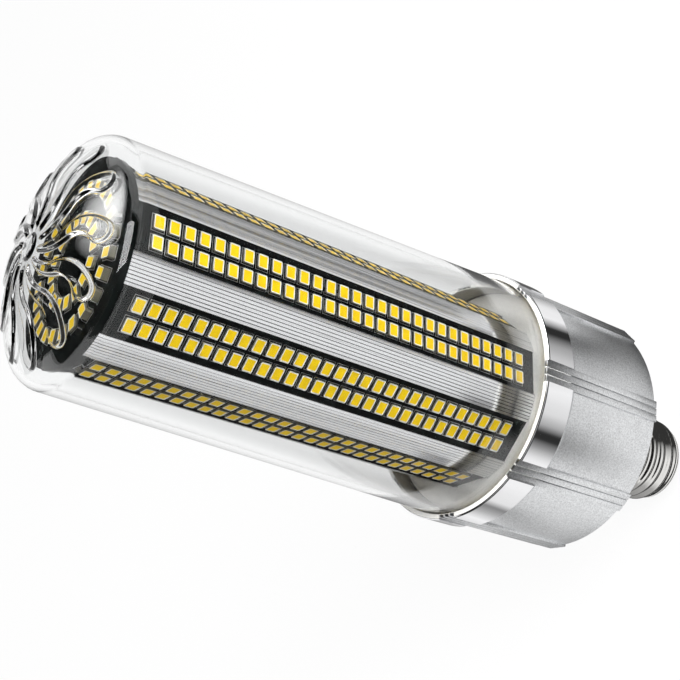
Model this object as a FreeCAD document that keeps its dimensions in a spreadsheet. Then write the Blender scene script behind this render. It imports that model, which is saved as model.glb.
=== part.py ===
import FreeCAD, Part
import math
import os
import re

import Sketcher

# LED corn bulb with a standard 27 mm screw cap: a ribbed aluminium column carries eight LED strips
# and a round end board under a clear cover with a swirl-ribbed dome.
# Millimetres. The axis is +Z, the tip of the centre contact is the origin, and strip 1 faces +X.

doc = FreeCAD.newDocument("corn_bulb")
sizes = doc.addObject("Spreadsheet::Sheet", "sizes")

STRIPS = 8
LEDS_PER_ROW = 29
OUTER_END_LEDS = 24
INNER_END_LEDS = 16
GROOVES_PER_FIELD = 4
RIBS_PER_BAND = 3
SWIRL_RIBS = 12

# Driving dimensions. Heights whose names end in _level are measured from the contact tip.
DIMENSIONS = {
    "cap_radius": 13.1,
    "cap_wall": 0.6,
    "cap_level": 5.6,
    "cap_top_level": 27.0,
    "insulator_level": 1.6,
    "insulator_radius": 9.0,
    "contact_radius": 4.8,
    "neck_radius": 14.6,
    "rear_plate_thickness": 3.0,
    "housing_level": 45.2,
    "housing_wall": 1.88,
    "ring_wall": 1.7,
    "ring_step": 1.1,
    "ring_level": 79.6,
    "flare_length": 1.6,
    "ring_top_level": 89.2,
    "band_proud": 0.5,
    "band_offset": 6.3,
    "band_rib_width": 1.7,
    "band_groove_width": 0.45,
    "floor_level": 83.6,
    "floor_thickness": 3.0,
    "fit_clearance": 0.1,
    "plug_height": 3.0,
    "column_radius": 25.4,
    "column_wall": 2.6,
    "seat_depth": 2.6,
    "slot_clearance": 0.1,
    "slot_lip": 0.5,
    "groove_depth": 0.7,
    "groove_width": 0.6,
    "groove_step": 3.3,
    "board_width": 13.0,
    "board_thickness": 1.2,
    "board_setback": 0.4,
    "led_pitch": 4.0,
    "led_length": 2.8,
    "led_width": 3.5,
    "led_height": 0.75,
    "led_row_spacing": 5.05,
    "led_first_level": 89.6,
    "led_row_margin": 5.4,
    "end_board_overhang": 0.3,
    "end_board_thickness": 1.6,
    "outer_led_radius": 18.0,
    "inner_led_radius": 10.5,
    "cover_wall": 2.0,
    "cover_rim_radius": 34.2,
    "cover_bow_radius": 40000.0,
    "cover_shoulder_radius": 31.2,
    "cover_corner": 5.7,
    "cover_headroom": 13.4,
    "dome_radius": 59.0,
    "boss_radius": 5.4,
    "swirl_turn": 4.0,
    "swirl_inner_radius": 8.6,
    "swirl_first_reach": 7.0,
    "swirl_second_reach": 11.0,
    "swirl_start_angle": 5.0,
    "swirl_lean_angle": 45.0,
    "swirl_end_angle": -15.0,
    "swirl_start_width": 2.4,
    "swirl_end_width": 5.2,
    "swirl_height": 0.7,
    "driver_thickness": 1.6,
    "driver_width": 50.0,
    "driver_height": 30.0,
    "guide_depth": 3.0,
    "guide_thickness": 1.8,
    "guide_height": 5.0,
    "guide_clearance": 0.05,
    "transformer_width": 20.0,
    "transformer_depth": 15.0,
    "transformer_height": 18.0,
    "capacitor_width": 8.0,
    "capacitor_depth": 12.0,
    "capacitor_height": 16.0,
    "choke_size": 9.0,
    "rectifier_size": 6.5,
    "rectifier_depth": 2.4,
    "component_lift": 7.0,
}
# Sizes that follow from the ones above
DERIVED = {
    "cover_seat_radius": "cover_rim_radius + fit_clearance",
    "ring_radius": "cover_seat_radius + ring_wall",
    "housing_radius": "ring_radius - ring_step",
    "housing_bore": "(housing_radius - housing_wall) * cos(22.5)",
    "band_radius": "housing_radius + band_proud",
    "seat_distance": "column_radius - seat_depth",
    "slot_width": "board_width + 2 * slot_clearance",
    "slot_depth": "board_thickness + slot_clearance",
    "end_board_radius": "column_radius + end_board_overhang",
    "column_top_level": f"led_first_level + {LEDS_PER_ROW - 1} * led_pitch + led_row_margin",
    "board_top_level": "column_top_level - board_setback",
    "cover_top_level": "column_top_level + cover_headroom",
    "component_spacing": "0.34 * driver_width",
}

for row, (alias, value) in enumerate(DIMENSIONS.items(), start=1):
    sizes.set(f"A{row}", alias)
    sizes.set(f"B{row}", str(value))
    sizes.setAlias(f"B{row}", alias)
doc.recompute()
for row, (alias, formula) in enumerate(DERIVED.items(), start=len(DIMENSIONS) + 1):
    sizes.set(f"A{row}", alias)
    sizes.set(f"B{row}", f"={formula}")
    sizes.setAlias(f"B{row}", alias)
    doc.recompute()


NAMES = DIMENSIONS | DERIVED


def bound(expression):
    """Point each dimension name in an expression at its cell in the sheet."""
    return re.sub(r"[a-z]\w*", lambda word: f"sizes.{word[0]}" if word[0] in NAMES else word[0], expression)


def number(expression):
    """The present value of an expression, in millimetres or degrees."""
    value = sizes.evalExpression(bound(expression))
    return float(getattr(value, "Value", value))


def bind(feature, **properties):
    """Drive properties of a feature from the sheet."""
    for name, expression in properties.items():
        feature.setExpression(name, bound(expression))


def new_body(label, separate_solids=False):
    body = doc.addObject("PartDesign::Body", label)
    body.Label = label
    body.AllowCompound = separate_solids
    return body


def datum(body, role):
    """An origin plane or axis of a body, such as XZ_Plane or Z_Axis."""
    return next(item for item in body.Origin.OriginFeatures if item.Role == role)


def pin_corner(sketch, edge, end, corner):
    """Fix one end of an edge at a corner given by two expressions."""
    for expression, kind, axis in ((corner[0], "DistanceX", -2), (corner[1], "DistanceY", -1)):
        if expression == "0":
            sketch.addConstraint(Sketcher.Constraint("PointOnObject", edge, end, axis))
            continue
        index = sketch.addConstraint(Sketcher.Constraint(kind, -1, 1, edge, end, number(expression)))
        sketch.setExpression(f"Constraints[{index}]", bound(expression))


def add_arc(sketch, start, end, radius, turn):
    """Add an arc between two points. It turns left for turn 1 and right for turn -1."""
    chord = end - start
    sideways = FreeCAD.Vector(-chord.y, chord.x, 0).normalize()
    reach = math.sqrt(max(radius ** 2 - (chord.Length / 2) ** 2, 0))
    centre = (start + end) * 0.5 + sideways * reach * turn
    first, last = (start, end) if turn > 0 else (end, start)
    angles = [math.atan2(point.y - centre.y, point.x - centre.x) for point in (first, last)]
    circle = Part.Circle(centre, FreeCAD.Vector(0, 0, 1), radius)
    return sketch.addGeometry(Part.ArcOfCircle(circle, *angles))


def draw_loop(sketch, corners):
    """Draw a closed outline. A corner (x, y) ends a line, and (x, y, radius, turn) ends an arc."""
    points = [FreeCAD.Vector(number(corner[0]), number(corner[1]), 0) for corner in corners]
    edges = []
    for index, corner in enumerate(corners):
        start, end = points[index - 1], points[index]
        if len(corner) == 2:
            edges.append((sketch.addGeometry(Part.LineSegment(start, end)), 1, 2))
        else:
            arc = add_arc(sketch, start, end, number(corner[2]), corner[3])
            edges.append((arc, 1, 2) if corner[3] > 0 else (arc, 2, 1))
    for index, corner in enumerate(corners):
        edge, first, last = edges[index]
        before, _, before_last = edges[index - 1]
        sketch.addConstraint(Sketcher.Constraint("Coincident", before, before_last, edge, first))
        pin_corner(sketch, edge, last, corner)
        if len(corner) == 4:
            radius = sketch.addConstraint(Sketcher.Constraint("Radius", edge, number(corner[2])))
            sketch.setExpression(f"Constraints[{radius}]", bound(corner[2]))


def draw_circle(sketch, radius, x="0", y="0"):
    centre = FreeCAD.Vector(number(x), number(y), 0)
    circle = sketch.addGeometry(Part.Circle(centre, FreeCAD.Vector(0, 0, 1), number(radius)))
    pin_corner(sketch, circle, 3, (x, y))
    index = sketch.addConstraint(Sketcher.Constraint("Radius", circle, number(radius)))
    sketch.setExpression(f"Constraints[{index}]", bound(radius))


def new_sketch(body, name, role="XY_Plane", level="0", turn="0"):
    """A sketch on an origin plane of a body, raised along the plane's normal and turned about it."""
    sketch = body.newObject("Sketcher::SketchObject", name)
    sketch.AttachmentSupport = [(datum(body, role), "")]
    sketch.MapMode = "FlatFace"
    if level != "0":
        sketch.setExpression("AttachmentOffset.Base.z", bound(level))
    if turn != "0":
        sketch.setExpression("AttachmentOffset.Rotation.Angle", bound(turn))
    return sketch


def rectangle(x_low, x_high, y_low, y_high):
    return [(x_low, y_low), (x_high, y_low), (x_high, y_high), (x_low, y_high)]


def revolve(body, name, corners):
    """Turn an outline of (radius, height) corners about the lamp's axis."""
    sketch = new_sketch(body, f"{name}_profile", "XZ_Plane")
    draw_loop(sketch, corners)
    doc.recompute()
    feature = body.newObject("PartDesign::Revolution", name)
    feature.Profile = sketch
    feature.ReferenceAxis = (datum(body, "Z_Axis"), [""])
    feature.Angle = 360.0
    doc.recompute()
    return feature


def profile(body, name, loops, level, circles, turn):
    """A level sketch of closed outlines and circles."""
    sketch = new_sketch(body, f"{name}_profile", "XY_Plane", level, turn)
    for corners in loops:
        draw_loop(sketch, corners)
    for circle in circles:
        draw_circle(sketch, *circle)
    doc.recompute()
    return sketch


def pad(body, name, level, height, loops=(), circles=(), turn="0"):
    """Raise outlines from a level by a height."""
    sketch = profile(body, name, loops, level, circles, turn)
    feature = body.newObject("PartDesign::Pad", name)
    feature.Profile = sketch
    bind(feature, Length=height)
    doc.recompute()
    return feature


def cut(body, name, level, height, loops=(), circles=(), turn="0"):
    """Remove outlines from a level up to a height above it."""
    sketch = profile(body, name, loops, level, circles, turn)
    feature = body.newObject("PartDesign::Pocket", name)
    feature.Profile = sketch
    feature.Reversed = True
    bind(feature, Length=height)
    doc.recompute()
    return feature


def around_axis(body, feature, count):
    """Repeat a feature evenly round the lamp's axis."""
    pattern = body.newObject("PartDesign::PolarPattern", f"{feature.Name}_ring")
    pattern.Originals = [feature]
    pattern.Axis = (datum(body, "Z_Axis"), [""])
    pattern.Angle = 360.0
    pattern.Occurrences = count
    body.Tip = pattern
    doc.recompute()
    return pattern


def turn_to_strip(body, index):
    """Turn a strip's piece from +X to its own side of the column."""
    axis = FreeCAD.Vector(0, 0, 1)
    body.Placement = FreeCAD.Placement(FreeCAD.Vector(), FreeCAD.Rotation(axis, 360.0 / STRIPS * index))


def octagon(distance):
    """Corners of an octagon whose sides lie at a distance from the axis and face the strips."""
    reach = f"({distance}) / cos({180.0 / STRIPS})"
    angles = [360.0 / STRIPS * (index + 0.5) for index in range(STRIPS)]
    return [(f"{reach} * cos({angle})", f"{reach} * sin({angle})") for angle in angles]


def make_screw_cap():
    """Screw shell, insulating nose and centre contact of the cap."""
    shell = new_body("screw_shell")
    pad(shell, "barrel", "cap_level", "cap_top_level - cap_level", circles=[("cap_radius",)])
    cut(shell, "hollow", "cap_level + cap_wall", "cap_top_level - cap_level - cap_wall",
        circles=[("cap_radius - cap_wall",)])
    insulator = new_body("cap_insulator")
    pad(insulator, "nose", "insulator_level", "cap_level - insulator_level", circles=[("insulator_radius",)])
    contact = new_body("centre_contact")
    pad(contact, "button", "0", "insulator_level", circles=[("contact_radius",)])


def make_rear_cover():
    """Eight-sided plate that closes the housing, with the cap's neck and the driver board's guides."""
    cover = new_body("rear_cover")
    pad(cover, "plate", "housing_level", "rear_plate_thickness", [octagon("housing_bore - fit_clearance")])
    pad(cover, "neck", "cap_top_level", "housing_level - cap_top_level", circles=[("neck_radius",)])
    near = "driver_thickness / 2 + guide_clearance"
    far = f"{near} + guide_thickness"
    inner = "driver_width / 2 - guide_depth"
    outer = "driver_width / 2"
    cheeks = []
    for left, right in ((inner, outer), (f"-{outer}", f"-({inner})")):
        cheeks.append(rectangle(left, right, near, far))
        cheeks.append(rectangle(left, right, f"-({far})", f"-({near})"))
    pad(cover, "driver_guides", "housing_level + rear_plate_thickness", "guide_height", cheeks)


def make_housing():
    """Aluminium cup with a polished ring, eight ribbed bands, and a floor that locates the column."""
    housing = new_body("housing")
    flare_level = "ring_level - flare_length"
    revolve(housing, "cup", [
        ("0", "housing_level"),
        ("housing_radius", "housing_level"),
        ("housing_radius", flare_level),
        ("ring_radius", "ring_level"),
        ("ring_radius", "ring_top_level"),
        ("cover_seat_radius", "ring_top_level"),
        ("cover_seat_radius", "floor_level"),
        ("0", "floor_level"),
    ])
    cut(housing, "cavity", "housing_level", "floor_level - floor_thickness - housing_level",
        [octagon("housing_bore")])
    pad(housing, "column_plug", "floor_level", "plug_height",
        [octagon("seat_distance - column_wall - fit_clearance")])

    step = "(band_rib_width + band_groove_width)"
    half_band = f"({RIBS_PER_BAND} * {step} - band_groove_width) / 2"
    channel = rectangle("band_radius", "ring_radius + 1", f"-{half_band}", half_band)
    notch = cut(housing, "ring_notch", flare_level, f"ring_top_level - ({flare_level})", [channel],
                turn="-band_offset")
    around_axis(housing, notch, STRIPS)
    ribs = []
    for index in range(RIBS_PER_BAND):
        middle = f"{index - (RIBS_PER_BAND - 1) / 2} * {step}"
        ribs.append(rectangle("cover_seat_radius + fit_clearance", "band_radius",
                              f"{middle} - band_rib_width / 2", f"{middle} + band_rib_width / 2"))
    band = pad(housing, "band", "housing_level", "ring_top_level - housing_level", ribs, turn="-band_offset")
    around_axis(housing, band, STRIPS)


def make_column():
    """Extruded column: a tube with eight slots for the strips and a field of fine grooves between them."""
    column = new_body("column")
    height = "column_top_level - floor_level"
    pad(column, "tube", "floor_level", height, [octagon("seat_distance - column_wall")], [("column_radius",)])
    half = "slot_width / 2"
    mouth = f"({half} - slot_lip)"
    lip, outside = "seat_distance + slot_depth", "column_radius + 1"
    slot = cut(column, "slot", "floor_level", height, [[
        ("seat_distance", f"-{half}"),
        (lip, f"-{half}"),
        (lip, f"-{mouth}"),
        (outside, f"-{mouth}"),
        (outside, mouth),
        (lip, mouth),
        (lip, half),
        ("seat_distance", half),
    ]])
    around_axis(column, slot, STRIPS)

    half_mouth = "groove_width / column_radius * 90 / pi"
    deep, proud = "(column_radius - groove_depth)", "(column_radius + groove_depth / 4)"
    grooves = []
    for index in range(GROOVES_PER_FIELD):
        angle = f"{180.0 / STRIPS} + {index - (GROOVES_PER_FIELD - 1) / 2} * groove_step"
        places = ((deep, angle), (proud, f"{angle} - {half_mouth}"), (proud, f"{angle} + {half_mouth}"))
        grooves.append([(f"{reach} * cos({turn})", f"{reach} * sin({turn})") for reach, turn in places])
    groove = cut(column, "groove", "floor_level", height, grooves)
    around_axis(column, groove, STRIPS)


def make_strips():
    """Eight strip boards, each with a ladder of LED pairs. A pair is one block across both rows."""
    board_face = "seat_distance + board_thickness"
    half_pair = "(led_row_spacing + led_width) / 2"
    pair_outline = rectangle(board_face, f"{board_face} + led_height", f"-{half_pair}", half_pair)
    for index in range(STRIPS):
        board = new_body(f"strip_board_{index + 1}")
        outline = rectangle("seat_distance", board_face, "-board_width / 2", "board_width / 2")
        pad(board, "board", "floor_level", "board_top_level - floor_level", [outline])
        turn_to_strip(board, index)

        leds = new_body(f"strip_leds_{index + 1}", separate_solids=True)
        pair = pad(leds, "led_pair", "led_first_level - led_length / 2", "led_length", [pair_outline])
        pattern = leds.newObject("PartDesign::LinearPattern", "led_rows")
        pattern.Originals = [pair]
        pattern.Direction = (datum(leds, "Z_Axis"), [""])
        pattern.Occurrences = LEDS_PER_ROW
        bind(pattern, Length=f"led_pitch * {LEDS_PER_ROW - 1}")
        leds.Tip = pattern
        turn_to_strip(leds, index)
    doc.recompute()


def make_end_board():
    """Round board on the column's end, with two rings of LED packages."""
    board = new_body("end_board")
    pad(board, "disc", "column_top_level", "end_board_thickness", circles=[("end_board_radius",)])
    leds = new_body("end_leds", separate_solids=True)
    face = "column_top_level + end_board_thickness"
    for name, radius, count in (("outer", "outer_led_radius", OUTER_END_LEDS),
                                ("inner", "inner_led_radius", INNER_END_LEDS)):
        outline = rectangle(f"{radius} - led_width / 2", f"{radius} + led_width / 2",
                            "-led_length / 2", "led_length / 2")
        led = pad(leds, f"{name}_led", face, "led_height", [outline])
        around_axis(leds, led, count)


def dome_cap(name, lift, level):
    """Cap of a ball above a level: the dome's surface, lifted along its normals."""
    ball = doc.addObject("Part::Sphere", f"{name}_ball")
    bind(ball, Radius=f"dome_radius + {lift}")
    ball.Placement.Rotation = FreeCAD.Rotation(FreeCAD.Vector(0, 1, 0), 90)
    ball.setExpression("Placement.Base.z", bound("cover_top_level - dome_radius"))
    above = doc.addObject("Part::Cylinder", f"{name}_span")
    bind(above, Radius="cover_shoulder_radius", Height="dome_radius")
    above.setExpression("Placement.Base.z", bound(level))
    cap = doc.addObject("Part::MultiCommon", f"{name}_cap")
    cap.Shapes = [ball, above]
    return cap


def cover_form(name, wall, bevel):
    """Solid form of the cover, offset inwards by a wall: drafted side, corner bevel and dome."""
    ball = f"(dome_radius - {wall})"
    ball_level = "cover_top_level - dome_radius"
    corner_radius = "(cover_shoulder_radius - cover_corner)"
    shoulder = f"(cover_shoulder_radius - {wall})"
    corners = [("0", "floor_level"), (f"cover_rim_radius - {wall}", "floor_level")]
    if bevel:
        to_ball = f"sqrt((dome_radius - cover_corner) ^ 2 - {corner_radius} ^ 2)"
        dome_edge = f"{corner_radius} * dome_radius / (dome_radius - cover_corner)"
        dome_level = f"{ball_level} + {to_ball} * dome_radius / (dome_radius - cover_corner)"
        corners.append((shoulder, f"{ball_level} + {to_ball}", "cover_bow_radius", -1))
        corners.append((dome_edge, dome_level))
    else:
        dome_level = f"{ball_level} + sqrt({ball} ^ 2 - {shoulder} ^ 2)"
        corners.append((shoulder, dome_level, "cover_bow_radius", -1))
    corners.append(("0", dome_level))
    side = new_body(f"{name}_side")
    revolve(side, "side", corners)
    form = doc.addObject("Part::MultiFuse", name)
    form.Shapes = [side, dome_cap(f"{name}_dome", f"-{wall}", dome_level)]
    return form


def swirl_outline():
    """S-shaped rib on the dome: an arc that leans to the left runs on into one that leans back."""
    first_heading = "((swirl_start_angle + swirl_lean_angle) / 2)"
    second_heading = "((swirl_lean_angle + swirl_end_angle) / 2)"
    first_radius = "(swirl_first_reach / 2 / sin((swirl_lean_angle - swirl_start_angle) / 2))"
    second_radius = "(swirl_second_reach / 2 / sin((swirl_lean_angle - swirl_end_angle) / 2))"
    start = ("swirl_inner_radius", "0")
    middle = (f"{start[0]} + swirl_first_reach * cos({first_heading})",
              f"swirl_first_reach * sin({first_heading})")
    end = (f"{middle[0]} + swirl_second_reach * cos({second_heading})",
           f"{middle[1]} + swirl_second_reach * sin({second_heading})")
    narrow, wide = "swirl_start_width / 2", "swirl_end_width / 2"
    half = "(swirl_start_width + swirl_end_width) / 4"

    def beside(point, angle, offset, side):
        """A point at an offset to the left (1) or right (-1) of a heading."""
        return (f"{point[0]} - {side} * {offset} * sin({angle})",
                f"{point[1]} + {side} * {offset} * cos({angle})")

    return [
        beside(start, "swirl_start_angle", narrow, -1),
        beside(middle, "swirl_lean_angle", half, -1) + (f"{first_radius} + {half}", 1),
        beside(end, "swirl_end_angle", wide, -1) + (f"{second_radius} - {half}", -1),
        beside(end, "swirl_end_angle", wide, 1),
        beside(middle, "swirl_lean_angle", half, 1) + (f"{second_radius} + {half}", 1),
        beside(start, "swirl_start_angle", narrow, 1) + (f"{first_radius} - {half}", -1),
    ]


def make_cover():
    """Clear moulded cover: a drafted wall, a domed end and swirl ribs that follow the dome."""
    arms = new_body("swirl_arms", separate_solids=True)
    arms_level = "cover_top_level - 2 * cover_corner"
    arm = pad(arms, "arm", arms_level, "3 * cover_corner", [swirl_outline()], turn="swirl_turn")
    around_axis(arms, arm, SWIRL_RIBS)
    boss = new_body("swirl_boss")
    pad(boss, "boss", arms_level, "3 * cover_corner", circles=[("boss_radius",)])
    relief = doc.addObject("Part::MultiFuse", "swirl_relief")
    relief.Shapes = [arms, boss]
    ribs = doc.addObject("Part::MultiCommon", "swirl_ribs")
    ribs.Shapes = [relief, dome_cap("swirl_dome", "swirl_height", arms_level)]

    outside = doc.addObject("Part::MultiFuse", "cover_outside")
    outside.Shapes = [cover_form("cover_outer", "0", bevel=True), ribs]
    cover = doc.addObject("Part::Cut", "clear_cover")
    cover.Base = outside
    cover.Tool = cover_form("cover_inner", "cover_wall", bevel=False)
    return cover


def make_driver():
    """Driver board, which slides into the rear cover's guides, with its main components."""
    face, back = "driver_thickness / 2", "-driver_thickness / 2"
    bottom = "housing_level + rear_plate_thickness"
    lift = f"{bottom} + component_lift"
    board = new_body("driver_board")
    pad(board, "board", bottom, "driver_height",
        [rectangle("-driver_width / 2", "driver_width / 2", back, face)])
    blocks = (
        ("driver_transformer", "0", "transformer_width", "transformer_depth", "transformer_height"),
        ("driver_capacitor", "component_spacing", "capacitor_width", "capacitor_depth", "capacitor_height"),
        ("driver_choke", "-component_spacing", "choke_size", "choke_size", "choke_size"),
    )
    for label, middle, width, depth, height in blocks:
        block = new_body(label)
        outline = rectangle(f"{middle} - {width} / 2", f"{middle} + {width} / 2", face, f"{face} + {depth}")
        pad(block, "block", lift, height, [outline])
    rectifier = new_body("driver_rectifier")
    outline = rectangle("-rectifier_size / 2", "rectifier_size / 2", f"{back} - rectifier_depth", back)
    pad(rectifier, "block", lift, "rectifier_size", [outline])


make_screw_cap()
make_rear_cover()
make_housing()
make_column()
make_strips()
make_end_board()
clear_cover = make_cover()
make_driver()
doc.recompute()

for item in doc.Objects:
    if "Invalid" in item.State or "Error" in item.State:
        raise RuntimeError(f"{item.Label} did not build")

os.makedirs("parts", exist_ok=True)
tools = ("swirl_arms", "swirl_boss", "cover_outer_side", "cover_inner_side")
pieces = [body for body in doc.findObjects("PartDesign::Body") if body.Label not in tools]
for piece in pieces + [clear_cover]:
    if piece.Shape.isNull() or not piece.Shape.isValid():
        raise RuntimeError(f"{piece.Label} has no valid shape")
    piece.Shape.exportStep(f"parts/{piece.Label}.step")
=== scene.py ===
import math

import bmesh
import bpy
from bpy.props import FloatProperty, FloatVectorProperty, IntProperty, PointerProperty
from mathutils import Euler, Matrix, Vector
from mathutils.kdtree import KDTree


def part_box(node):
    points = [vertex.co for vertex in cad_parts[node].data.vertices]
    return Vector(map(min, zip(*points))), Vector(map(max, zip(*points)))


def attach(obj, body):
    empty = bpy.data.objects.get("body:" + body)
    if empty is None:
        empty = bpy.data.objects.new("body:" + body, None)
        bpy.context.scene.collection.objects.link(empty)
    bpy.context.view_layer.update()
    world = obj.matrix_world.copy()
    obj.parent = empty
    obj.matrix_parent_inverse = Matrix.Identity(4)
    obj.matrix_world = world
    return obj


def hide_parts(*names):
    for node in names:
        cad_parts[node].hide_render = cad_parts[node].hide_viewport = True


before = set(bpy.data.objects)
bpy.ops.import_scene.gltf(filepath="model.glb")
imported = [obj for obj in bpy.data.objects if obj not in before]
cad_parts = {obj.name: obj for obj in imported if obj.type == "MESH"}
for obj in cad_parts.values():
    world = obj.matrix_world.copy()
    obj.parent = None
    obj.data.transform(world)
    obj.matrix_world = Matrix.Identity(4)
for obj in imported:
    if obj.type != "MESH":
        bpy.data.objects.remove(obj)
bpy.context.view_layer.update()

bl_info = {
    "name": "Corn Lamp",
    "version": (1, 0, 0),
    "blender": (4, 5, 0),
    "location": "View3D > Sidebar > Lamp",
    "description": "Builds the visible pieces and the finishes of a corn LED lamp round its solids",
    "category": "Object",
}

MM = 0.001
STRIPS = 8
SECTOR = 2 * math.pi / STRIPS
RIB_STEPS = 24
# Values closer than this are the same
WELD = 1e-6
# Gap between pieces that fit into each other
PLAY = 0.1 * MM
# The dome lies above this share of its ball's radius
DOME_SHARE = 0.8
# The boss is flat up to this share of its radius
BOSS_FLAT = 0.85
# Values between which most of a noise pattern lies
NOISE_LOW, NOISE_HIGH = 0.3, 0.7
# Angle round the lamp's axis at which the camera stands
CAMERA_SIDE = math.radians(-29.1)
# Material slots of an LED package and of the housing
PACKAGE, WINDOW, PAD, MASK, SIDE = range(5)
BLASTED, POLISHED, FLOOR = range(3)

cover_low, cover_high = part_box("clear_cover")
housing_low, housing_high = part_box("housing")
column_low, column_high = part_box("column")
board_low, board_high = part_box("strip_board_1")
leds_low, leds_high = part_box("strip_leds_1")
end_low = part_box("end_leds")[0]
shell_low, shell_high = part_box("screw_shell")
rear_low, rear_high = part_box("rear_cover")


def length(name, description, default):
    """A size that a user can change, in metres."""
    return FloatProperty(name=name, description=description, default=default, min=0.0,
                         unit="LENGTH", precision=5)


def angle(name, description, degrees):
    """An angle that a user can change, given in degrees."""
    return FloatProperty(name=name, description=description, default=math.radians(degrees),
                         unit="ROTATION")


def number(name, description, default):
    """A number of like things that a user can change."""
    return IntProperty(name=name, description=description, default=default, min=1)


def colour(name, description, red, green, blue):
    """A colour that a user can change."""
    return FloatVectorProperty(name=name, description=description, subtype="COLOR", size=3,
                               min=0.0, max=1.0, default=(red, green, blue))


class LampSizes(bpy.types.PropertyGroup):
    """Sizes of the pieces that the solids leave plain."""
    cover_wall: length("Cover wall", "Thickness of the clear cover", 2.0 * MM)
    cover_rim: length("Cover rim", "Outside radius of the cover at its rim", cover_high.x)
    cover_shoulder: length("Cover shoulder", "Outside radius of the cover below its corner", 31.2 * MM)
    cover_corner: length("Cover corner", "Radius of the rounded corner round the dome", 5.7 * MM)
    dome_radius: length("Dome radius", "Radius of the ball that the dome is part of", 59.0 * MM)
    dome_top: length("Dome top", "Height of the dome without its relief", 220.4 * MM)
    boss_radius: length("Boss radius", "Radius of the raised disc in the middle of the dome", 3.4 * MM)
    swirl_ribs: number("Swirl ribs", "Ribs of the swirl on the dome", 12)
    rib_turn: angle("Rib turn", "Angle of the first swirl rib round the axis", 4.0)
    rib_start: length("Rib start", "Distance from the axis at which a swirl rib begins", 5.8 * MM)
    rib_first_reach: length("Rib first reach", "Reach of a swirl rib's inner bend", 9.8 * MM)
    rib_second_reach: length("Rib second reach", "Reach of a swirl rib's outer bend", 9.6 * MM)
    rib_start_heading: angle("Rib start heading", "Heading of a swirl rib at its inner end", 5.0)
    rib_lean: angle("Rib lean", "Heading of a swirl rib between its bends", 52.0)
    rib_end_heading: angle("Rib end heading", "Heading of a swirl rib at its outer end", -25.0)
    rib_start_width: length("Rib start width", "Width of a swirl rib at its inner end", 2.0 * MM)
    rib_end_width: length("Rib end width", "Width of a swirl rib at its outer end", 6.0 * MM)
    rib_edge: length("Rib edge", "Width of the slope along a swirl rib's sides", 0.9 * MM)
    rib_height: length("Rib height", "Height of a swirl rib over the dome", 0.6 * MM)
    boss_height: length("Boss height", "Height of the raised disc over the dome", 0.6 * MM)
    column_radius: length("Column radius", "Radius of the column between the strips", 25.4 * MM)
    column_wall: length("Column wall", "Thickness of the column behind a strip", 2.6 * MM)
    groove_depth: length("Groove depth", "Depth of the fine grooves along the column", 0.3 * MM)
    groove_count: number("Grooves", "Grooves between two strips", 9)
    slot_half: length("Slot half", "Half the width of a strip's slot", 6.6 * MM)
    slot_lip: length("Slot lip", "How far the lips of a slot reach over the strip", 0.5 * MM)
    led_length: length("LED length", "Length of an LED package along the strip", 2.8 * MM)
    led_width: length("LED width", "Width of an LED package across the strip", 3.5 * MM)
    led_pitch: length("LED pitch", "Distance from one LED to the next along a strip", 4.0 * MM)
    led_spacing: length("LED spacing", "Distance between the two rows of a strip", 5.05 * MM)
    led_border: length("LED border", "Width of the package round the yellow window", 0.33 * MM)
    pad_margin: length("Pad margin", "How far the pads' outline stands off the package", 0.36 * MM)
    outer_ring: length("Outer ring", "Radius of the end board's outer ring of LEDs", 18.0 * MM)
    inner_ring: length("Inner ring", "Radius of the end board's inner ring of LEDs", 10.5 * MM)
    outer_ring_leds: number("Outer ring LEDs", "LEDs in the end board's outer ring", 24)
    inner_ring_leds: number("Inner ring LEDs", "LEDs in the end board's inner ring", 16)
    housing_radius: length("Housing radius", "Radius of the housing's side", 34.9 * MM)
    ring_radius: length("Ring radius", "Radius of the polished ring", 35.99 * MM)
    ring_level: length("Ring level", "Height at which the polished ring begins", 79.6 * MM)
    flare: length("Flare", "Length of the slope from the side to the ring", 1.6 * MM)
    floor_level: length("Floor level", "Height of the pale floor round the column", cover_low.z)
    band_radius: length("Band radius", "Radius of the ribbed bands", 35.4 * MM)
    band_rib: length("Band rib", "Width of one rib of a band", 1.85 * MM)
    band_groove: length("Band groove", "Width of the groove between two ribs of a band", 0.22 * MM)
    band_depth: length("Band depth", "Depth of the grooves between a band's ribs", 0.35 * MM)
    band_turn: angle("Band turn", "Angle from a strip to the band beside it", -6.3)
    neck_radius: length("Neck radius", "Radius of the rear cover's neck", 14.6 * MM)
    thread_pitch: length("Thread pitch", "Rise of the cap's thread in one turn", 3.63 * MM)
    thread_depth: length("Thread depth", "Depth of the cap's rolled thread", 1.05 * MM)


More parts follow.
